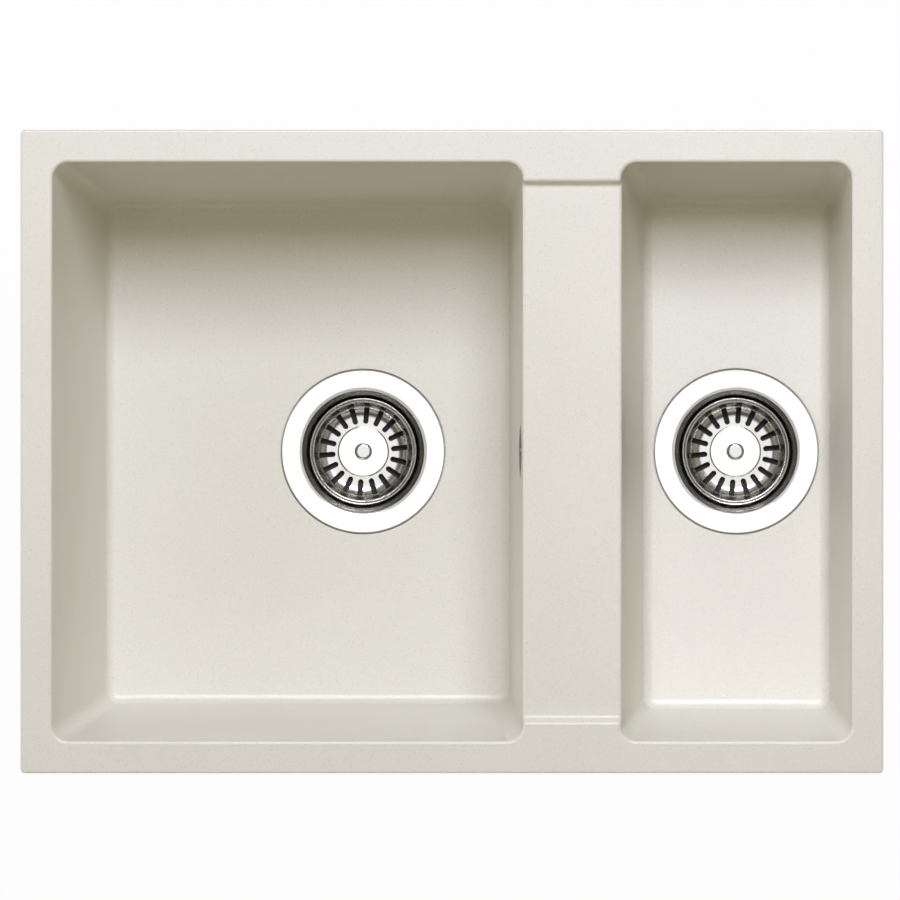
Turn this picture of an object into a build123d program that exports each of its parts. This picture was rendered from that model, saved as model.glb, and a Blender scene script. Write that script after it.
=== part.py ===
"""Undermount kitchen sink, cast in granite composite, with a large bowl, a half bowl and a lowered divider.

Each bowl has a basket strainer waste, the large bowl has an overflow, and six swivel clips hold the rim up
to the worktop. Millimetres, +Z up, +X towards the half bowl and +Y towards the back. The origin is the
middle of the rim's top face, which lies against the underside of the worktop.
"""

import os
from dataclasses import dataclass
from math import atan2, degrees, hypot, radians, tan

from build123d import *

os.makedirs("parts", exist_ok=True)

# Clearances
slack = 0.01
press_gap = 0.02
thread_gap = 0.05
pivot_gap = 0.1
face_gap = 0.2
seat_gap = 0.3

# Rim and divider
sink_length = 590.0
sink_width = 440.0
rim_width = 21.5
front_rim_width = 22.0
rim_thickness = 12.0
rim_corner_radius = 3.0
rim_edge_round = 1.5
divider_length = 67.0
divider_thickness = 11.0
divider_drop = 6.0
step_angle = 62.0
step_round = 2.5
step_margin = 0.2

# Bowls
half_bowl_length = 158.0
main_bowl_depth = 200.0
half_bowl_depth = 150.0
bowl_corner_radius = 11.0
bowl_edge_round = 2.2
floor_corner_radius = 9.0
floor_round = 7.0
wall_thickness = 9.0
floor_thickness = 10.0

# How far each wall leans in from the rim down to the floor
main_lean_left = 33.0
main_lean_right = 8.0
main_lean_front = 22.5
main_lean_back = 25.0
half_lean_left = 17.5
half_lean_right = 12.0
half_lean_front = 20.0
half_lean_back = 22.5

# Strainer cups, as radius and depth below the bowl floor
main_drain_from_divider = 110.5
drain_hole_gap = 1.1
flange_radius = 57.0
flange_recess_depth = 2.0
flange_recess_margin = 0.8
cup_steel = 1.2
mouth_radius = 42.7
mouth_round = 2.6
throat_radius = 38.6
throat_depth = 13.0
throat_round = 6.0
cup_foot_radius = 36.6
cup_depth = 44.0
cup_foot_round = 5.0
neck_radius = 24.0
neck_round = 1.6
neck_length = 10.0
spider_thickness = 2.5
spider_arm_width = 5.0
spider_arms = 4
spider_boss_radius = 8.0

# Seals and waste bodies
seal_margin = 1.5
upper_seal_thickness = 1.4
lower_seal_thickness = 2.5
waste_wall = 3.0
waste_flange_radius = 57.0
waste_flange_thickness = 4.5
barrel_margin = 1.0
waste_cone_length = 15.0
outlet_thread_radius = 23.9
outlet_wall = 4.4
outlet_length = 26.0
thread_pitch = 2.3
thread_depth = 0.9
thread_count = 8
waste_boss_radius = 9.0
waste_boss_length = 14.0
waste_boss_gap = 3.5
waste_boss_overhang = 4.5
waste_ribs = 12
waste_rib_width = 3.0
waste_rib_depth = 4.0
waste_arm_width = 4.0
waste_arm_height = 7.0
waste_arms = 3

# Clamp screws and nuts
clamp_radius = 3.0
clamp_socket_radius = 3.5
clamp_socket_depth = 5.0
clamp_socket_wall = 3.0
clamp_head_gap = 1.5
nut_wall = 2.0
nut_thickness = 5.0

# Strainer baskets
basket_steel = 0.8
basket_bead_radius = 0.75
basket_lip_width = 1.8
basket_lip_drop = 2.2
basket_rim_gap = 1.15
basket_foot_gap = 4.0
basket_foot_round = 9.0
slot_count = 18
slot_first_angle = 85.3
slot_width = 3.7
slot_inner_margin = 1.6
slot_outer_margin = 0.5
cap_radius = 17.9
cap_height = 2.2
cap_round = 1.0
knob_radius = 5.9
knob_waist_radius = 3.6
knob_height = 11.0
knob_head_height = 4.0
knob_round = 1.8
stem_radius = 2.5
stem_collar_radius = 7.0
stem_collar_length = 4.4
stem_end_gap = 0.8
plug_overlap = 6.8
plug_thickness = 4.5
plug_chamfer = 1.2

# Overflow
overflow_clearance = 2.5
overflow_hole_radius = 15.0
rose_overlap = 3.0
rose_thickness = 1.2
rose_round = 0.5
rose_ring_width = 3.2
rose_hub_radius = 6.6
rose_spoke_width = 2.6
rose_screw_radius = 2.5
rose_screw_head_radius = 4.0
rose_screw_head_height = 0.8
rear_seal_thickness = 2.5
elbow_margin = 0.5
elbow_flange_width = 5.0
elbow_flange_thickness = 4.0
elbow_wall = 2.5
elbow_length = 26.0
elbow_boss_radius = 5.0
elbow_boss_length = 14.0
spigot_radius = 10.8
spigot_wall = 2.0
spigot_length = 30.0
pipe_gap = 0.1
pipe_wall = 2.0
pipe_bend_radius = 40.0
pipe_overlap = 20.0
band_width = 9.0
band_thickness = 0.9
band_inset = 5.0
band_box_length = 12.0
band_box_height = 7.0

# Swivel clips
clip_margin = 0.75
clip_spread = 180.0
clip_reach = 44.0
clip_thickness = 2.0
clip_slot_width = 5.5
clip_slot_length = 16.0
clip_slot_margin = 5.0
clip_rib_radius = 1.6
clip_rib_length = 14.0
clip_rib_slope = 20.0
insert_wall = 1.1
insert_cover = 4.0
clip_screw_radius = 2.5
clip_screw_end_gap = 1.5
clip_screw_head_radius = 4.6
clip_screw_head_height = 3.0
clip_screw_recess_depth = 1.8
clip_screw_recess_width = 1.3
clip_washer_radius = 5.2
clip_washer_thickness = 1.0


@dataclass
class Bowl:
    """A bowl's opening at the rim, its depth, and how far each wall leans in down to the floor."""

    left: float
    right: float
    depth: float
    lean_left: float
    lean_right: float
    lean_front: float
    lean_back: float

    def plan(self, depth, spread=0.0):
        """The left, right, front and back of the bowl at a depth, spread outward by a wall."""
        share = depth / self.depth
        left = self.left + share * self.lean_left - spread
        right = self.right - share * self.lean_right + spread
        front = -bowl_half_width + share * self.lean_front - spread
        back = bowl_half_width - share * self.lean_back + spread
        return left, right, front, back


half_bowl_right = sink_length / 2 - rim_width
half_bowl_left = half_bowl_right - half_bowl_length
main_bowl_right = half_bowl_left - divider_length
main_bowl_left = rim_width - sink_length / 2
bowl_half_width = sink_width / 2 - front_rim_width

main_bowl = Bowl(
    main_bowl_left,
    main_bowl_right,
    main_bowl_depth,
    main_lean_left,
    main_lean_right,
    main_lean_front,
    main_lean_back,
)
half_bowl = Bowl(
    half_bowl_left,
    half_bowl_right,
    half_bowl_depth,
    half_lean_left,
    half_lean_right,
    half_lean_front,
    half_lean_back,
)

# Each drain is the point on its axis at the top of the bowl floor
half_floor_left, half_floor_right, _, _ = half_bowl.plan(half_bowl_depth)
main_drain = Vector(main_bowl_right - main_drain_from_divider, 0, -main_bowl_depth)
half_drain = Vector((half_floor_left + half_floor_right) / 2, 0, -half_bowl_depth)
drains = {"main": main_drain, "half": half_drain}

# Heights in a waste, counted up from the bowl floor
flange_top = upper_seal_thickness + cup_steel - flange_recess_depth
neck_end = -cup_depth - neck_length
spider_top = neck_end + spider_thickness
clamp_head_top = -cup_depth - clamp_head_gap
clamp_socket_bottom = clamp_head_top - clamp_socket_depth
boss_top = neck_end - waste_boss_gap
boss_bottom = boss_top - waste_boss_length
waste_top = -floor_thickness - lower_seal_thickness
waste_flange_bottom = waste_top - waste_flange_thickness
cone_bottom = boss_bottom + waste_boss_overhang
cone_top = cone_bottom + waste_cone_length
outlet_end = cone_bottom - outlet_length
plug_bottom = seat_gap - cup_depth
plug_top = plug_bottom + plug_thickness
collar_top = plug_top + stem_collar_length
basket_floor = collar_top + basket_steel
basket_top = -throat_depth
basket_wall_top = basket_top - basket_lip_drop
cap_top = basket_floor + cap_height
knob_top = cap_top + knob_height
knob_head_bottom = knob_top - knob_head_height

# Radii in a waste
drain_hole_radius = mouth_radius + cup_steel + drain_hole_gap
seal_inner_radius = drain_hole_radius + seal_margin
upper_seal_radius = flange_radius - seal_margin
lower_seal_radius = waste_flange_radius - seal_margin
barrel_radius = drain_hole_radius + barrel_margin
barrel_outer_radius = barrel_radius + waste_wall
outlet_bore_radius = outlet_thread_radius - outlet_wall
clamp_head_radius = clamp_socket_radius + clamp_socket_wall
nut_radius = clamp_radius + nut_wall
basket_rim_radius = throat_radius - basket_rim_gap - basket_bead_radius
basket_wall_radius = basket_rim_radius - basket_lip_width
basket_foot_radius = cup_foot_radius - basket_foot_gap
slot_inner_radius = cap_radius + slot_inner_margin
slot_outer_radius = basket_foot_radius - slot_outer_margin
stem_pin_radius = clamp_socket_radius - seat_gap
plug_radius = neck_radius + plug_overlap

# The overflow's plane lies on the large bowl's right wall, faces into the bowl and leans with it
rose_radius = overflow_hole_radius + rose_overlap
elbow_radius = overflow_hole_radius + elbow_margin
elbow_flange_radius = elbow_radius + elbow_flange_width
overflow_depth = divider_drop + divider_thickness + elbow_flange_radius + overflow_clearance
overflow_x = main_bowl.plan(overflow_depth)[1]
overflow_normal = Vector(-main_bowl_depth, 0, main_lean_right)
overflow_plane = Plane((overflow_x, 0, -overflow_depth), x_dir=(0, 1, 0), z_dir=overflow_normal)
rose_plane = overflow_plane.offset(-rose_thickness)
wall_back = -wall_thickness * main_bowl_depth / overflow_normal.length
elbow_front = wall_back - rear_seal_thickness
elbow_back = elbow_front - elbow_length

# The overflow pipe drops from the elbow's spigot and turns to the inlet of the large bowl's waste
spigot_bore_radius = spigot_radius - spigot_wall
spigot_x = overflow_plane.from_local_coords((0, 0, elbow_back + elbow_wall + spigot_bore_radius)).X
spigot_end = -overflow_depth - elbow_radius - spigot_length
inlet_z = main_drain.Z + (waste_flange_bottom + cone_top) / 2
inlet_end = main_drain.X + barrel_outer_radius + spigot_length
pipe_radius = spigot_radius + pipe_gap + pipe_wall
pipe_top = spigot_end + pipe_overlap
pipe_end = inlet_end - pipe_overlap

# Each clip's pivot on the rim's underside, and the way it lies when stowed under the rim
rim_overhang = rim_width - wall_thickness
clip_width = rim_overhang - 2 * clip_margin
clip_x = (sink_length - rim_overhang) / 2
clip_y = (sink_width - rim_overhang) / 2
clips = {
    "front_left": (Vector(-clip_spread, -clip_y, -rim_thickness), Vector(1, 0, 0)),
    "front_right": (Vector(clip_spread, -clip_y, -rim_thickness), Vector(-1, 0, 0)),
    "back_left": (Vector(-clip_spread, clip_y, -rim_thickness), Vector(1, 0, 0)),
    "back_right": (Vector(clip_spread, clip_y, -rim_thickness), Vector(-1, 0, 0)),
    "left_side": (Vector(-clip_x, 0, -rim_thickness), Vector(0, 1, 0)),
    "right_side": (Vector(clip_x, 0, -rim_thickness), Vector(0, 1, 0)),
}
clip_washer_top = -clip_thickness - 2 * face_gap
clip_head_top = clip_washer_top - clip_washer_thickness
insert_radius = clip_screw_radius + insert_wall
insert_length = rim_thickness - insert_cover


def upright(spot):
    """The vertical plane through a drain's axis: local x is the radius and local y the height."""
    return Plane(spot, x_dir=(1, 0, 0), z_dir=(0, -1, 0))


def level(spot, height):
    """The level plane at a height above a spot."""
    return Plane(spot + Vector(0, 0, height))


def turned(spot, outline):
    """A solid turned about the upright axis through a spot, from a closed outline of radii and heights."""
    with BuildPart() as solid:
        with BuildSketch(upright(spot)):
            with BuildLine():
                Polyline(*outline, close=True)
            make_face()
        revolve(axis=Axis(spot, (0, 0, 1)))
    return solid.part


def ring(spot, inner_radius, outer_radius, bottom, top):
    """A flat upright ring about a spot's axis."""
    with BuildPart() as solid:
        with BuildSketch(level(spot, bottom)):
            Circle(outer_radius)
            Circle(inner_radius, mode=Mode.SUBTRACT)
        extrude(amount=top - bottom)
    return solid.part


def save(solid, name):
    """Labels a finished piece and writes its file."""
    solid.label = name
    export_step(solid, f"parts/{name}.step")


# Sink body: the rim, the two bowls' shells and the divider, with every hole that the fittings need


def bowl_block(bowl, spread, bottom):
    """The tapered block that fills a bowl, spread outward by a wall and reaching down to a bottom."""
    with BuildPart() as block:
        for depth, radius in ((0, bowl_corner_radius), (bottom, floor_corner_radius)):
            left, right, front, back = bowl.plan(depth, spread)
            with BuildSketch(Plane(((left + right) / 2, (front + back) / 2, -depth))):
                RectangleRounded(right - left, back - front, radius + spread)
        loft(ruled=True)
        fillet(block.edges().group_by(Axis.Z)[0], floor_round + spread)
    return block.part


def runs_round(edge, bowl):
    """Whether an edge runs round a bowl's opening, along the rim or down over the divider."""
    box = edge.bounding_box()
    beside = bowl.left - slack < box.min.X and box.max.X < bowl.right + slack
    return beside and box.min.Z > -divider_drop - slack


step_tangent = step_round * tan(radians(step_angle / 2))
step_top = bowl_half_width - bowl_corner_radius - step_tangent - step_margin
step_foot = step_top - divider_drop / tan(radians(step_angle))
bridge_left = main_bowl_right + wall_thickness / 2
bridge_right = half_bowl_left - wall_thickness / 2

with BuildPart() as sink_body:
    with BuildSketch():
        RectangleRounded(sink_length, sink_width, rim_corner_radius)
    extrude(amount=-rim_thickness)
    with BuildSketch(Plane(((bridge_left + bridge_right) / 2, 0, 0))):
        Rectangle(bridge_right - bridge_left, 2 * bowl_half_width)
    extrude(amount=-divider_drop - divider_thickness)
    for bowl in (main_bowl, half_bowl):
        add(bowl_block(bowl, wall_thickness, bowl.depth + floor_thickness))
    for bowl in (main_bowl, half_bowl):
        add(bowl_block(bowl, 0, bowl.depth), mode=Mode.SUBTRACT)
    fillet(sink_body.faces().sort_by(Axis.Z)[-1].outer_wire().edges(), rim_edge_round)

    # The divider's notch runs a little way into both bowls, and its ends slope up to the rim
    with BuildSketch(Plane.YZ.offset(main_bowl_right - wall_thickness)):
        with BuildLine():
            Polyline(
                (-step_top, 0),
                (-step_foot, -divider_drop),
                (step_foot, -divider_drop),
                (step_top, 0),
                close=True,
            )
        make_face()
    extrude(amount=divider_length + 2 * wall_thickness, mode=Mode.SUBTRACT)
    step_reach = step_top + slack
    for step_level in (-divider_drop, 0):
        across = sink_body.edges().filter_by(Axis.X).filter_by_position(Axis.Y, -step_reach, step_reach)
        fillet(across.filter_by_position(Axis.Z, step_level - slack, step_level + slack), step_round)
    for bowl in (main_bowl, half_bowl):
        fillet(sink_body.edges().filter_by(lambda edge: runs_round(edge, bowl)), bowl_edge_round)

    with Locations(*drains.values()):
        CounterBoreHole(
            drain_hole_radius,
            flange_radius + flange_recess_margin,
            flange_recess_depth,
            2 * floor_thickness,
        )
    with Locations(overflow_plane):
        CounterBoreHole(
            overflow_hole_radius,
            rose_radius + face_gap,
            rose_thickness,
            2 * wall_thickness,
        )
    with Locations(*[Plane(spot, z_dir=(0, 0, -1)) for spot, _ in clips.values()]):
        Hole(insert_radius + press_gap, insert_length)
save(sink_body.part, "sink_body")


# Wastes: a strainer cup in each bowl floor, the seals, the waste body below and the screw between them


def strainer_cup(drain):
    """The steel cup: its flange lies in the floor's recess, and a spider crosses the foot of its neck."""
    with BuildPart() as cup:
        with BuildSketch(upright(drain)):
            with BuildLine():
                FilletPolyline(
                    (flange_radius, flange_top),
                    (mouth_radius, flange_top),
                    (throat_radius, -throat_depth),
                    (cup_foot_radius, -cup_depth),
                    (neck_radius, -cup_depth),
                    (neck_radius, neck_end),
                    radius=[mouth_round, throat_round, cup_foot_round, neck_round],
                )
                offset(amount=cup_steel, side=Side.LEFT)
            make_face()
        revolve(axis=Axis(drain, (0, 0, 1)))
        with BuildSketch(level(drain, neck_end)):
            with PolarLocations(neck_radius / 2, spider_arms):
                Rectangle(neck_radius + cup_steel, spider_arm_width)
            Circle(spider_boss_radius)
            Circle(clamp_radius + pivot_gap, mode=Mode.SUBTRACT)
        extrude(amount=spider_thickness)
    return cup.part


def waste_body(drain):
    """The plastic body under the floor: a barrel, a cone and a boss on arms."""
    hollow = [
        (0, waste_top),
        (barrel_radius, waste_top),
        (barrel_radius, cone_top),
        (outlet_bore_radius, cone_bottom),
        (outlet_bore_radius, boss_bottom),
        (0, boss_bottom),
    ]
    shell = [
        (0, waste_top),
        (waste_flange_radius, waste_top),
        (waste_flange_radius, waste_flange_bottom),
        (barrel_outer_radius, waste_flange_bottom),
        (barrel_outer_radius, cone_top - waste_wall / 2),
        (outlet_thread_radius, cone_bottom - waste_wall / 2),
        (outlet_thread_radius, boss_bottom),
        (0, boss_bottom),
    ]
    with BuildPart() as spider:
        with BuildSketch(level(drain, boss_bottom)):
            Circle(waste_boss_radius)
        extrude(amount=waste_boss_length)
        with BuildSketch(level(drain, boss_bottom)):
            with PolarLocations(barrel_radius / 2, waste_arms):
                Rectangle(barrel_radius, waste_arm_width)
        extrude(amount=waste_arm_height)
        add(turned(drain, shell), mode=Mode.INTERSECT)
    with BuildPart() as body:
        add(turned(drain, shell))
        with BuildSketch(level(drain, cone_top)):
            rib_start = 180 / waste_ribs
            with PolarLocations(barrel_outer_radius, waste_ribs, start_angle=rib_start):
                Rectangle(2 * waste_rib_depth, waste_rib_width)
        extrude(amount=waste_flange_bottom - cone_top)
        add(turned(drain, hollow), mode=Mode.SUBTRACT)
        add(spider.part)
        with Locations(level(drain, boss_top)):
            Hole(clamp_radius + pivot_gap, waste_boss_length)
        with BuildSketch(level(drain, boss_bottom)):
            RegularPolygon(nut_radius + pivot_gap, 6, major_radius=False)
        extrude(amount=nut_thickness, mode=Mode.SUBTRACT)
    return body.part


def outlet_tail(drain):
    """The threaded tail, welded to the foot of the waste body, that the trap screws onto."""
    with BuildPart() as tail:
        add(ring(drain, outlet_bore_radius, outlet_thread_radius, outlet_end, boss_bottom))
        with BuildSketch(upright(drain)):
            for turn in range(thread_count):
                height = outlet_end + (turn + 1) * thread_pitch
                with Locations((outlet_thread_radius, height)):
                    RegularPolygon(thread_depth, 4)
        revolve(axis=Axis(drain, (0, 0, 1)), mode=Mode.SUBTRACT)
    return tail.part


def clamp_screw(drain):
    """The hollow-headed screw that pulls the cup and the waste body together."""
    return turned(
        drain,
        [
            (0, boss_bottom),
            (clamp_radius, boss_bottom),
            (clamp_radius, spider_top),
            (clamp_head_radius, spider_top),
            (clamp_head_radius, clamp_head_top),
            (clamp_socket_radius, clamp_head_top),
            (clamp_socket_radius, clamp_socket_bottom),
            (0, clamp_socket_bottom),
        ],
    )


def clamp_nut(drain):
    """The hexagon nut in the foot of the waste body's boss."""
    with BuildPart() as nut:
        with BuildSketch(level(drain, boss_bottom)):
            RegularPolygon(nut_radius, 6, major_radius=False)
            Circle(clamp_radius + thread_gap, mode=Mode.SUBTRACT)
        extrude(amount=nut_thickness)
    return nut.part


# Baskets: a slotted shell with a cap and a knob, on a stem that carries the plug


def basket_shell(drain):
    """The slotted steel shell, whose flared lip has a bead along each edge."""
    lip_slope = degrees(atan2(basket_lip_drop, basket_lip_width))
    lip_middle = Vector(
        (basket_wall_radius + basket_rim_radius) / 2,
        (basket_wall_top + basket_top) / 2,
    )
    with BuildPart() as shell:
        with BuildSketch(upright(drain)):
            with BuildLine():
                FilletPolyline(
                    (basket_wall_radius - basket_steel / 2, basket_wall_top),
                    (basket_foot_radius, basket_floor),
                    (stem_radius + thread_gap, basket_floor),
                    radius=[basket_foot_round],
                )
                offset(amount=basket_steel, side=Side.LEFT)
            make_face()
            with Locations((basket_wall_radius, basket_wall_top), (basket_rim_radius, basket_top)):
                Circle(basket_bead_radius)
            with Locations(lip_middle):
                Rectangle(hypot(basket_lip_width, basket_lip_drop), basket_steel, lip_slope)
        revolve(axis=Axis(drain, (0, 0, 1)))
        with BuildSketch(level(drain, basket_floor - 2 * basket_steel)):
            slot_middle = (slot_inner_radius + slot_outer_radius) / 2
            with PolarLocations(slot_middle, slot_count, start_angle=slot_first_angle):
                SlotOverall(slot_outer_radius - slot_inner_radius, slot_width)
        extrude(amount=basket_top - basket_floor, mode=Mode.SUBTRACT)
    return shell.part


def basket_cap(drain):
    """The round cap over the middle of the basket's floor."""
    with BuildPart() as cap:
        with BuildSketch(level(drain, basket_floor)):
            Circle(cap_radius)
        extrude(amount=cap_height)
        fillet(cap.edges().group_by(Axis.Z)[-1], cap_round)
        with Locations(level(drain, cap_top)):
            Hole(stem_radius + thread_gap, cap_height)
    return cap.part


def basket_knob(drain):
    """The waisted pull knob, screwed onto the stem."""
    with BuildPart() as knob:
        with BuildSketch(upright(drain)):
            with BuildLine():
                FilletPolyline(
                    (0, cap_top),
                    (knob_radius, cap_top),
                    (knob_waist_radius, (cap_top + knob_head_bottom) / 2),
                    (knob_radius, knob_head_bottom),
                    (knob_radius, knob_top),
                    (0, knob_top),
                    radius=[0, knob_round, knob_round / 2, knob_round],
                )
                Line((0, knob_top), (0, cap_top))
            make_face()
        revolve(axis=Axis(drain, (0, 0, 1)))
        with Locations(Plane(level(drain, cap_top).origin, z_dir=(0, 0, -1))):
            Hole(stem_radius + thread_gap, knob_height - knob_head_height)
    return knob.part


def basket_stem(drain):
    """The turned stem: a threaded top, a collar between the basket and the plug, and a locating pin."""
    pin_end = clamp_socket_bottom + stem_end_gap
    return turned(
        drain,
        [
            (0, knob_head_bottom),
            (stem_radius, knob_head_bottom),
            (stem_radius, collar_top),
            (stem_collar_radius, collar_top),
            (stem_collar_radius, plug_top),
            (stem_pin_radius, plug_top),
            (stem_pin_radius, pin_end),
            (0, pin_end),
        ],
    )


def basket_plug(drain):
    """The rubber disc that closes the cup's neck when the basket is pushed down."""
    return turned(
        drain,
        [
            (stem_pin_radius + thread_gap, plug_top),
            (plug_radius, plug_top),
            (plug_radius, plug_bottom + plug_chamfer),
            (plug_radius - plug_chamfer, plug_bottom),
            (stem_pin_radius + thread_gap, plug_bottom),
        ],
    )


for name, drain in drains.items():
    seal_floor = -flange_recess_depth
    upper_seal = ring(drain, seal_inner_radius, upper_seal_radius, seal_floor, flange_top - cup_steel)
    save(upper_seal, f"{name}_upper_seal")
    save(strainer_cup(drain), f"{name}_strainer_cup")
    lower_seal = ring(drain, seal_inner_radius, lower_seal_radius, waste_top, -floor_thickness)
    save(lower_seal, f"{name}_lower_seal")
    save(clamp_screw(drain), f"{name}_clamp_screw")
    save(clamp_nut(drain), f"{name}_clamp_nut")
    save(outlet_tail(drain), f"{name}_outlet_tail")
    save(basket_shell(drain), f"{name}_basket_shell")
    save(basket_cap(drain), f"{name}_basket_cap")
    save(basket_knob(drain), f"{name}_basket_knob")
    save(basket_stem(drain), f"{name}_basket_stem")
    save(basket_plug(drain), f"{name}_basket_plug")
save(waste_body(half_drain), "half_waste_body")

# The large bowl's waste body also has a spigot for the overflow pipe
inlet_plane = Plane((inlet_end, 0, inlet_z), x_dir=(0, 1, 0), z_dir=(-1, 0, 0))
with BuildPart() as main_waste_body:
    add(waste_body(main_drain))
    with BuildSketch(inlet_plane):
        Circle(spigot_radius)
    extrude(until=Until.NEXT)
    with Locations(Plane(inlet_plane.origin, z_dir=(1, 0, 0))):
        Hole(spigot_bore_radius, spigot_length + 2 * spigot_radius)
save(main_waste_body.part, "main_waste_body")


# Overflow: a rose on the bowl wall, screwed to an elbow behind it, and a pipe to the large bowl's waste
with BuildPart() as overflow_rose:
    with BuildSketch(rose_plane):
        Circle(rose_radius)
    extrude(amount=rose_thickness)
    fillet(overflow_rose.faces().sort_by(Axis.X)[0].edges(), rose_round)
    with BuildSketch(rose_plane):
        Circle(rose_radius - rose_ring_width)
        Rectangle(2 * rose_radius, rose_spoke_width, mode=Mode.SUBTRACT)
        Rectangle(rose_spoke_width, 2 * rose_radius, mode=Mode.SUBTRACT)
        Circle(rose_hub_radius, mode=Mode.SUBTRACT)
        Circle(rose_screw_radius + pivot_gap)
    extrude(amount=rose_thickness, mode=Mode.SUBTRACT)
save(overflow_rose.part, "overflow_rose")

with BuildPart() as overflow_screw:
    with BuildSketch(overflow_plane):
        Circle(rose_screw_head_radius)
    extrude(amount=rose_screw_head_height)
    fillet(overflow_screw.faces().sort_by(Axis.X)[0].edges(), rose_screw_head_height / 2)
    with BuildSketch(overflow_plane.offset(elbow_back + elbow_wall)):
        Circle(rose_screw_radius)
    extrude(amount=-elbow_back - elbow_wall)
save(overflow_screw.part, "overflow_screw")

with BuildPart() as overflow_rear_seal:
    with BuildSketch(overflow_plane.offset(elbow_front)):
        Circle(elbow_flange_radius)
        Circle(elbow_radius, mode=Mode.SUBTRACT)
    extrude(amount=rear_seal_thickness)
save(overflow_rear_seal.part, "overflow_rear_seal")

spigot_plane = Plane((spigot_x, 0, -overflow_depth), z_dir=(0, 0, -1))
spigot_drop = -overflow_depth - spigot_end
with BuildPart() as overflow_elbow:
    with BuildSketch(overflow_plane.offset(elbow_back)):
        Circle(elbow_radius + elbow_wall)
    extrude(amount=elbow_length)
    with BuildSketch(overflow_plane.offset(elbow_front)):
        Circle(elbow_flange_radius)
    extrude(amount=-elbow_flange_thickness)
    with BuildSketch(spigot_plane):
        Circle(spigot_radius)
    extrude(amount=spigot_drop)
    with BuildSketch(overflow_plane.offset(elbow_back + elbow_wall)):
        Circle(elbow_radius)
    extrude(amount=elbow_length, mode=Mode.SUBTRACT)
    with BuildSketch(spigot_plane):
        Circle(spigot_bore_radius)
    extrude(amount=spigot_drop, mode=Mode.SUBTRACT)
    with BuildSketch(overflow_plane.offset(elbow_back + elbow_wall)):
        Circle(elbow_boss_radius)
        Circle(rose_screw_radius + thread_gap, mode=Mode.SUBTRACT)
    extrude(amount=elbow_boss_length)
save(overflow_elbow.part, "overflow_elbow")

with BuildPart() as overflow_pipe:
    with BuildLine() as pipe_route:
        FilletPolyline(
            (spigot_x, 0, pipe_top),
            (spigot_x, 0, inlet_z),
            (pipe_end, 0, inlet_z),
            radius=[pipe_bend_radius],
        )
    with BuildSketch(Plane((spigot_x, 0, pipe_top), z_dir=(0, 0, -1))):
        Circle(pipe_radius)
        Circle(pipe_radius - pipe_wall, mode=Mode.SUBTRACT)
    sweep(path=pipe_route.wires()[0])
save(overflow_pipe.part, "overflow_pipe")


def band(plane):
    """A band clip round the pipe, with the box of its worm screw on one side."""
    with BuildPart() as solid:
        with BuildSketch(plane):
            Circle(pipe_radius + thread_gap + band_thickness)
            with Locations((0, pipe_radius + band_box_height / 2)):
                Rectangle(band_box_length, band_box_height)
            Circle(pipe_radius + thread_gap, mode=Mode.SUBTRACT)
        extrude(amount=band_width)
    return solid.part


upper_band = band(Plane((spigot_x, 0, pipe_top - band_inset), x_dir=(1, 0, 0), z_dir=(0, 0, -1)))
lower_band = band(Plane((pipe_end + band_inset, 0, inlet_z), x_dir=(0, 0, 1), z_dir=(1, 0, 0)))
save(Compound(children=[upper_band, lower_band]), "overflow_pipe_bands")


# Swivel clips: each turns on a screw in a brass insert in the rim's underside


def clip_insert(spot):
    """The brass insert that the clip's screw goes into."""
    return ring(spot, clip_screw_radius + thread_gap, insert_radius, 0, insert_length)


def clip_washer(spot):
    """The washer between the clip and the screw's head."""
    return ring(spot, clip_screw_radius + pivot_gap, clip_washer_radius, clip_head_top, clip_washer_top)


def clip_screw(spot):
    """The round-headed screw, with a cross recess in its head."""
    head_bottom = clip_head_top - clip_screw_head_height
    with BuildPart() as screw:
        with BuildSketch(level(spot, clip_head_top)):
            Circle(clip_screw_radius)
        extrude(amount=insert_length - clip_screw_end_gap - clip_head_top)
        with BuildSketch(level(spot, clip_head_top)):
            Circle(clip_screw_head_radius)
        extrude(amount=-clip_screw_head_height)
        fillet(screw.edges().group_by(Axis.Z)[0], clip_screw_head_height / 2)
        with BuildSketch(level(spot, head_bottom)):
            Rectangle(clip_screw_head_radius, clip_screw_recess_width)
            Rectangle(clip_screw_recess_width, clip_screw_head_radius)
        extrude(amount=clip_screw_recess_depth, mode=Mode.SUBTRACT)
    return screw.part


def swivel_clip(spot, along):
    """The slotted steel strip, stowed along the rim, with a rib pressed into its underside."""
    strip_plane = Plane(spot - Vector(0, 0, face_gap), x_dir=along, z_dir=(0, 0, -1))
    slot_start = clip_reach - clip_slot_margin - clip_slot_length
    rib_start = clip_washer_radius + clip_rib_radius
    with BuildPart() as clip:
        with BuildSketch(strip_plane):
            with Locations((clip_reach / 2 - clip_width / 4, 0)):
                SlotOverall(clip_reach + clip_width / 2, clip_width)
            with Locations((slot_start + clip_slot_length / 2, 0)):
                SlotOverall(clip_slot_length, clip_slot_width, mode=Mode.SUBTRACT)
            Circle(clip_screw_radius + pivot_gap, mode=Mode.SUBTRACT)
        extrude(amount=clip_thickness)
        with BuildSketch(strip_plane.offset(clip_thickness)):
            with Locations((rib_start + clip_rib_length / 2, 0)):
                SlotOverall(clip_rib_length, 2 * clip_rib_radius)
        extrude(amount=clip_rib_radius, taper=clip_rib_slope)
    return clip.part


save(Compound(children=[clip_insert(spot) for spot, _ in clips.values()]), "clip_inserts")
save(Compound(children=[clip_washer(spot) for spot, _ in clips.values()]), "clip_washers")
save(Compound(children=[clip_screw(spot) for spot, _ in clips.values()]), "clip_screws")
for name, (spot, along) in clips.items():
    save(swivel_clip(spot, along), f"clip_{name}")
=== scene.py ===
"""Undermount kitchen sink of granite composite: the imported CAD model, dressed and lit."""

from math import radians

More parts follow.
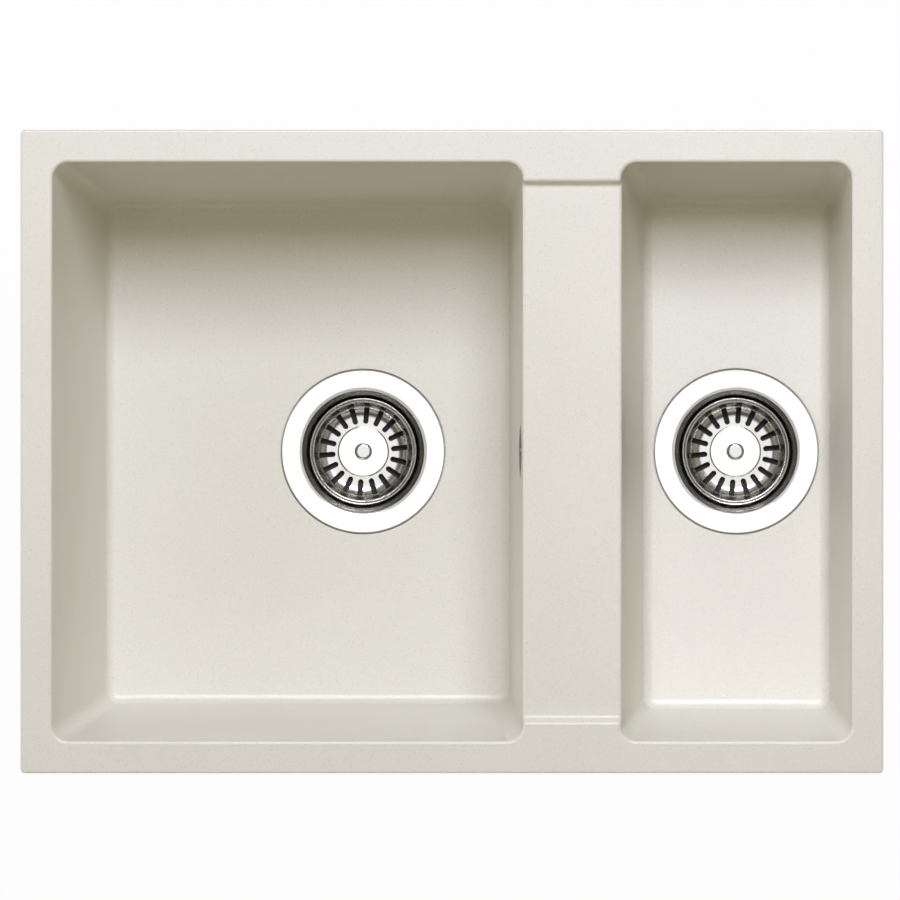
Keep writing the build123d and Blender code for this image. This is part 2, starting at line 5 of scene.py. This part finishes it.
import bpy
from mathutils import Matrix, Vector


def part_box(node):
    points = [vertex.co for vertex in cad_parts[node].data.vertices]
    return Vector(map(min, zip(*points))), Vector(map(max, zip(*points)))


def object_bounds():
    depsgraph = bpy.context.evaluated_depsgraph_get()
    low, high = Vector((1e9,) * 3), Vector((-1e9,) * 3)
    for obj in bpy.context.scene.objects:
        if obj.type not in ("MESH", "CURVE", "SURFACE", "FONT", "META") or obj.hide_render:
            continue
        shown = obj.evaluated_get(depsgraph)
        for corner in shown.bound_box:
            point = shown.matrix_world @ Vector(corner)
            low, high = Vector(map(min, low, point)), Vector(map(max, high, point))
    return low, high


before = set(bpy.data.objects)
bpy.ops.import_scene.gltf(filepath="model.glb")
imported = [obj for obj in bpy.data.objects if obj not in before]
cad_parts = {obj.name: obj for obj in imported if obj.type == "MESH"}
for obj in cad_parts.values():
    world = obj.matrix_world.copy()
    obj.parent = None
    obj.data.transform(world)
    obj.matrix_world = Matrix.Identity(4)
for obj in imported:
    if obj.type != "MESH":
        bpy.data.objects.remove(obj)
cad_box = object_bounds()
bpy.ops.object.select_all(action="DESELECT")


# Sink body: one casting of quartz grains in acrylic resin, cream, with fine darker and lighter grains.
# It comes from its mould with a matt, faintly rough skin, and carries all the other pieces.
class Finish:
    """A surface finish: its material, the shader, and patterns that sit fast on a piece."""

    # The sockets of a colour mix go by number, because several share a name.
    mix_share = 0
    mix_first = 6
    mix_second = 7
    mix_result = 2

    # A wave pattern of scale 1 has its waves this far apart, in metres.
    wave_pitch = 0.314

    def __init__(self, name, centre=(0.0, 0.0, 0.0)):
        self.material = bpy.data.materials.new(name)
        self.material.use_nodes = True
        self.tree = self.material.node_tree
        self.shader = self.tree.nodes["Principled BSDF"]
        place = self.tree.nodes.new("ShaderNodeTexCoord")
        mapping = self.tree.nodes.new("ShaderNodeMapping")
        mapping.inputs["Location"].default_value = [-value for value in centre]
        self.tree.links.new(place.outputs["Object"], mapping.inputs["Vector"])
        self.place = mapping.outputs["Vector"]

    def feed(self, socket, value):
        """Sets a socket to a value, or feeds it from another node."""
        if isinstance(value, bpy.types.NodeSocket):
            self.tree.links.new(value, socket)
        else:
            socket.default_value = value

    def node(self, kind, **inputs):
        """A node whose named inputs are set to a value or fed from another node."""
        made = self.tree.nodes.new(kind)
        for name, value in inputs.items():
            self.feed(made.inputs[name.replace("_", " ")], value)
        return made

    def grain(self, scale, detail=2.0):
        """A cloudy pattern from 0 to 1, whose clouds are about 1 / scale metres across."""
        return self.node("ShaderNodeTexNoise", Vector=self.place, Scale=scale, Detail=detail).outputs["Fac"]

    def cells(self, scale):
        """Scattered grains: the distance from each grain's middle, and two numbers that each grain has."""
        made = self.node("ShaderNodeTexVoronoi", Vector=self.place, Scale=scale)
        tint = self.node("ShaderNodeSeparateColor", Color=made.outputs["Color"])
        return made.outputs["Distance"], tint.outputs["Red"], tint.outputs["Green"]

    def rings(self, pitch):
        """Turning marks about the pattern's upright axis, a pitch apart."""
        made = self.node("ShaderNodeTexWave", Vector=self.place, Scale=self.wave_pitch / pitch)
        made.wave_type = "RINGS"
        made.rings_direction = "Z"
        return made.outputs["Fac"]

    def radius(self):
        """The distance from the pattern's upright axis."""
        flat = self.node("ShaderNodeMapping", Vector=self.place, Scale=(1.0, 1.0, 0.0))
        made = self.node("ShaderNodeVectorMath", Vector=flat.outputs["Vector"])
        made.operation = "LENGTH"
        return made.outputs["Value"]

    def range(self, value, low=0.0, high=1.0, first=0.0, last=1.0):
        """A pattern's part from low to high, spread from first to last."""
        made = self.node(
            "ShaderNodeMapRange", Value=value, From_Min=low, From_Max=high, To_Min=first, To_Max=last
        )
        return made.outputs["Result"]

    def times(self, first, second):
        """Two patterns multiplied."""
        made = self.tree.nodes.new("ShaderNodeMath")
        made.operation = "MULTIPLY"
        self.tree.links.new(first, made.inputs[0])
        self.tree.links.new(second, made.inputs[1])
        return made.outputs["Value"]

    def mix(self, share, first, second):
        """One colour passing into another where a pattern grows."""
        made = self.tree.nodes.new("ShaderNodeMix")
        made.data_type = "RGBA"
        for number, colour in ((self.mix_first, first), (self.mix_second, second)):
            self.feed(made.inputs[number], (*colour, 1.0) if isinstance(colour, tuple) else colour)
        self.tree.links.new(share, made.inputs[self.mix_share])
        return made.outputs[self.mix_result]

    def coat(self, colour, roughness, metal=0.0):
        """Gives the shader its colour, roughness and metal, each a pattern or a value."""
        for name, value in (("Base Color", colour), ("Roughness", roughness), ("Metallic", metal)):
            self.feed(self.shader.inputs[name], value)

    def relief(self, height, depth):
        """A fine relief, depth metres deep, on the surface."""
        made = self.node("ShaderNodeBump", Height=height, Strength=1.0, Distance=depth)
        self.tree.links.new(made.outputs["Normal"], self.shader.inputs["Normal"])

    def on(self, *names):
        """Puts the finish on CAD nodes."""
        for name in names:
            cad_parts[name].material_slots[0].material = self.material


cream = (0.790, 0.770, 0.697)
light_cream = (0.812, 0.793, 0.719)
dark_grain = (0.64, 0.601, 0.483)
pale_grain = (0.88, 0.857, 0.752)
cloudy = (0.3, 0.7)
few_grains = (0.80, 0.98)
granite = Finish("granite_composite")
stone = granite.mix(granite.range(granite.grain(scale=9.0, detail=3.0), *cloudy), cream, light_cream)
distance, dark_draw, pale_draw = granite.cells(scale=1400.0)
near = granite.range(distance, low=0.25, high=0.6, first=1.0, last=0.0)
stone = granite.mix(granite.times(near, granite.range(dark_draw, *few_grains)), stone, dark_grain)
stone = granite.mix(granite.times(near, granite.range(pale_draw, *few_grains)), stone, pale_grain)
skin = granite.grain(scale=1500.0)
granite.coat(stone, granite.range(skin, low=0.2, high=0.8, first=0.34, last=0.42))
granite.shader.inputs["IOR"].default_value = 1.6
granite.relief(skin, depth=0.00002)
granite.on("sink_body")


# Strainer cups: pressed and spun from stainless sheet, with the flange polished and the inside left satin,
# the inside painted a dark brown as shade.
# Each cup hangs through its bowl floor on a wide flange, and its spider takes the clamp screw.
drains = {}
for bowl in ("main", "half"):
    low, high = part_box(f"{bowl}_strainer_cup")
    drains[bowl] = ((low.x + high.x) / 2, (low.y + high.y) / 2, 0.0)

throat = 0.0428
throat_blur = 0.0004
# A thin dark brown ring just outside flange_edge is a painted shadow line round the flange.
flange_edge = 0.0562
edge_blur = 0.0003
painted_edge_shadow = (0.17, 0.145, 0.12)
turning_pitch = 0.0006
turning_depth = 0.0000012
for bowl, centre in drains.items():
    cup = Finish(f"{bowl}_cup_steel", centre)
    smears = cup.range(cup.grain(scale=60.0, detail=3.0), *cloudy)
    flange = cup.range(cup.radius(), throat - throat_blur, throat)
    edge = cup.range(cup.radius(), flange_edge, flange_edge + edge_blur)
    bright = cup.mix(smears, (0.82, 0.815, 0.80), (0.86, 0.855, 0.845))
    # The inside's dark brown is painted shade, much darker than the steel itself.
    shaded_inside = cup.mix(smears, (0.22, 0.206, 0.175), (0.27, 0.256, 0.222))
    # The flange's outer edge gets the painted shadow line, the inside the painted shade.
    colour = cup.mix(edge, cup.mix(flange, shaded_inside, bright), painted_edge_shadow)
    cup.coat(colour, cup.range(flange, first=0.27, last=0.13), cup.range(flange, first=1.0, last=0.35))
    cup.relief(cup.times(cup.rings(turning_pitch), flange), turning_depth)
    cup.on(f"{bowl}_strainer_cup")


# Strainer baskets: a slotted shell pressed from sheet, a turned knob and a stem, satin, with a polished cap.
# Each sits in its cup on the stem's pin and lifts out by the knob; the clamp screw stays behind in the cup.
polished = {}
for bowl, centre in drains.items():
    satin = Finish(f"{bowl}_satin_steel", centre)
    smears = satin.range(satin.grain(scale=80.0, detail=3.0), *cloudy)
    colour = satin.mix(smears, (0.56, 0.545, 0.50), (0.62, 0.605, 0.56))
    satin.coat(colour, satin.range(smears, first=0.22, last=0.28), metal=1.0)
    satin.relief(satin.grain(scale=900.0), depth=0.000001)
    satin.on(f"{bowl}_basket_shell", f"{bowl}_basket_knob", f"{bowl}_basket_stem")
    polish = Finish(f"{bowl}_polished_steel", centre)
    smears = polish.range(polish.grain(scale=60.0, detail=3.0), *cloudy)
    colour = polish.mix(smears, (0.60, 0.588, 0.55), (0.66, 0.648, 0.61))
    polish.coat(colour, polish.range(smears, first=0.10, last=0.16), metal=1.0)
    polish.relief(polish.rings(turning_pitch), turning_depth)
    polish.on(f"{bowl}_basket_cap", f"{bowl}_clamp_screw")
    polished[bowl] = polish


# Seals and plugs: black rubber, moulded with a dull skin.
# A flat ring lies above and below each bowl floor, one behind the overflow, and a plug under each basket.
cloudy_above = (0.35, 0.7)
rubber = Finish("rubber")
bloom = rubber.grain(scale=90.0, detail=4.0)
black = rubber.mix(rubber.range(bloom, *cloudy_above), (0.019, 0.018, 0.0165), (0.035, 0.034, 0.031))
rubber.coat(black, rubber.range(bloom, *cloudy, first=0.55, last=0.72))
rubber.relief(rubber.grain(scale=2200.0), depth=0.00003)
for bowl in drains:
    rubber.on(f"{bowl}_upper_seal", f"{bowl}_lower_seal", f"{bowl}_basket_plug")
rubber.on("overflow_rear_seal")


# Waste bodies: moulded in white polypropylene, ribbed, each with an outlet tail that has the trap's thread.
# The overflow's elbow, held by the rose's screw, and the pipe from it are of the same plastic.
plastic = Finish("waste_plastic")
flow = plastic.grain(scale=35.0, detail=3.0)
white = plastic.mix(plastic.range(flow, *cloudy), (0.79, 0.79, 0.765), (0.84, 0.84, 0.82))
plastic.coat(white, plastic.range(flow, *cloudy, first=0.36, last=0.46))
plastic.relief(plastic.grain(scale=1800.0), depth=0.00002)
for bowl in drains:
    plastic.on(f"{bowl}_waste_body", f"{bowl}_outlet_tail")
plastic.on("overflow_elbow", "overflow_pipe")


# Clamp nuts and rim inserts: turned brass.
# A nut sits in each waste body's boss, and the inserts are cast into the underside of the rim.
brass = Finish("brass")
tarnish = brass.grain(scale=300.0, detail=4.0)
yellow = brass.mix(brass.range(tarnish, *cloudy_above), (0.66, 0.47, 0.20), (0.50, 0.33, 0.13))
brass.coat(yellow, brass.range(tarnish, *cloudy, first=0.24, last=0.38), metal=1.0)
brass.on("main_clamp_nut", "half_clamp_nut", "clip_inserts")


# Overflow: a rose of steel, brushed upright, with four openings, let into the wall, and the screw that
# draws it to the elbow, both painted a dark brown grey as shade. Two polished steel bands hold the pipe on
# its spigots.
brushed = Finish("brushed_steel")
upright = brushed.node("ShaderNodeMapping", Vector=brushed.place, Scale=(1.0, 1.0, 0.04))
scratches = brushed.node("ShaderNodeTexNoise", Vector=upright.outputs["Vector"], Scale=2600.0)
scratches = scratches.outputs["Fac"]
# The dark brown grey is painted shade: the rose and its screw are coloured as they look in the wall's
# recess.
grey = brushed.mix(brushed.range(scratches, *cloudy), (0.26, 0.235, 0.19), (0.34, 0.31, 0.26))
brushed.coat(grey, brushed.range(scratches, *cloudy, first=0.36, last=0.48), metal=1.0)
brushed.on("overflow_rose", "overflow_screw")
polished["main"].on("overflow_pipe_bands")


# Swivel clips: punched from zinc plated strip, with screws and washers of the same finish.
# Each turns about its screw, from under the rim to under the worktop.
zinc = Finish("zinc_steel")
shade_draw, dull_draw = zinc.cells(scale=420.0)[1:]
grey = zinc.mix(shade_draw, (0.36, 0.37, 0.39), (0.45, 0.46, 0.475))
zinc.coat(grey, zinc.range(dull_draw, first=0.32, last=0.46), metal=1.0)
zinc.on("clip_screws", "clip_washers")
zinc.on("clip_front_left", "clip_front_right", "clip_back_left", "clip_back_right")
zinc.on("clip_left_side", "clip_right_side")


# Floor, light and camera: a pale floor, one large soft lamp above and behind, smaller ones above and on
# the other sides, and a warm fill all round.
# The camera looks straight down from far above, as on a product sheet.
def show_white(tree, white, shader, output, share):
    """Shows a share of white directly and in metal and glass, and elsewhere only the other shader."""
    path = tree.nodes.new("ShaderNodeLightPath")
    seen = path.outputs["Is Camera Ray"]
    for name in ("Is Glossy Ray", "Is Transmission Ray"):
        either = tree.nodes.new("ShaderNodeMath")
        either.operation = "MAXIMUM"
        tree.links.new(seen, either.inputs[0])
        tree.links.new(path.outputs[name], either.inputs[1])
        seen = either.outputs["Value"]
    part = tree.nodes.new("ShaderNodeMath")
    part.operation = "MULTIPLY"
    part.inputs[1].default_value = share
    tree.links.new(seen, part.inputs[0])
    mixed = tree.nodes.new("ShaderNodeMixShader")
    for number, source in enumerate((part, shader, white)):
        tree.links.new(source.outputs[0], mixed.inputs[number])
    tree.links.new(mixed.outputs["Shader"], output.inputs["Surface"])


floor_size = 60.0
floor_height = cad_box[0].z
bpy.ops.mesh.primitive_plane_add(size=floor_size, location=(0.0, 0.0, floor_height))
floor = bpy.context.object
floor.name = "floor"
pale = Finish("pale_floor")
dust = pale.mix(pale.grain(scale=3.0), (0.48, 0.48, 0.48), (0.52, 0.52, 0.52))
pale.coat(dust, roughness=0.9)
glow = pale.node("ShaderNodeEmission", Strength=1.0)
show_white(pale.tree, glow, pale.shader, pale.tree.nodes["Material Output"], share=0.98)
floor.data.materials.append(pale.material)

world = bpy.data.worlds.new("studio")
bpy.context.scene.world = world
world.use_nodes = True
studio = world.node_tree
fill = studio.nodes["Background"]
fill.inputs["Color"].default_value = (1.0, 0.765, 0.16, 1.0)
fill.inputs["Strength"].default_value = 0.16
backdrop = studio.nodes.new("ShaderNodeBackground")
backdrop.inputs["Color"].default_value = (1.0, 1.0, 1.0, 1.0)
show_white(studio, backdrop, fill, studio.nodes["World Output"], share=1.0)
sky = studio.nodes.new("ShaderNodeTexCoord")
height = studio.nodes.new("ShaderNodeSeparateXYZ")
ceiling = studio.nodes.new("ShaderNodeMapRange")
ceiling.inputs["From Min"].default_value = 0.50
ceiling.inputs["From Max"].default_value = 0.75
ceiling.inputs["To Min"].default_value = 1.0
ceiling.inputs["To Max"].default_value = 0.10
studio.links.new(sky.outputs["Generated"], height.inputs["Vector"])
studio.links.new(height.outputs["Z"], ceiling.inputs["Value"])
studio.links.new(ceiling.outputs["Result"], backdrop.inputs["Strength"])


def softbox(name, place, size, power, colour, tilt=0.0, turn=0.0, spread=180.0):
    """A rectangular soft lamp that the camera doesn't see; a small spread makes a narrow beam."""
    bpy.ops.object.light_add(type="AREA", location=place, rotation=(radians(tilt), 0.0, radians(turn)))
    lamp = bpy.context.object
    lamp.name = name
    lamp.data.shape = "RECTANGLE"
    lamp.data.size = size[0]
    lamp.data.size_y = size[1]
    lamp.data.energy = power
    lamp.data.spread = radians(spread)
    lamp.data.color = colour
    lamp.visible_camera = False
    return lamp


cool = (0.94, 0.978, 1.13)
plain = (0.98, 0.98, 1.0)
warm = (1.0, 0.88, 0.60)
softbox("key_lamp", (0.14, 1.14, 2.20), (0.90, 0.93), power=45.0, colour=cool, tilt=-27.4)
spot = softbox(
    "half_bowl_lamp", (0.198, 1.10, 2.12), (0.16, 0.36), power=0.019, colour=cool, tilt=-27.4, spread=5.0
)
spot.visible_glossy = False
sheen = softbox("top_lamp", (0.07, 0.0, 2.20), (0.90, 0.60), power=3.0, colour=plain)
sheen.visible_diffuse = False
bounce = softbox("ceiling_lamp", (0.07, 0.0, 2.30), (0.90, 0.60), power=3.2, colour=warm)
bounce.visible_glossy = False
softbox("left_lamp", (-2.0, 0.2, 0.75), (1.60, 0.80), power=9.5, colour=cool, tilt=69.4, turn=-90.0)
softbox("front_lamp", (0.3, -2.2, -0.12), (1.40, 0.30), power=11.0, colour=plain, tilt=90.0, turn=8.0)
softbox("right_lamp", (2.2, -0.2, -0.12), (1.40, 0.30), power=6.0, colour=plain, tilt=90.0, turn=85.0)

bpy.ops.object.camera_add(location=(-0.00137, 0.00103, 10.0), rotation=(0.0, 0.0, 0.0))
camera = bpy.context.object
camera.data.sensor_width = 36.0
camera.data.lens = 585.0
camera.data.clip_end = 100.0
bpy.context.scene.camera = camera
bpy.context.scene.view_settings.view_transform = "Standard"

bpy.context.view_layer.update()
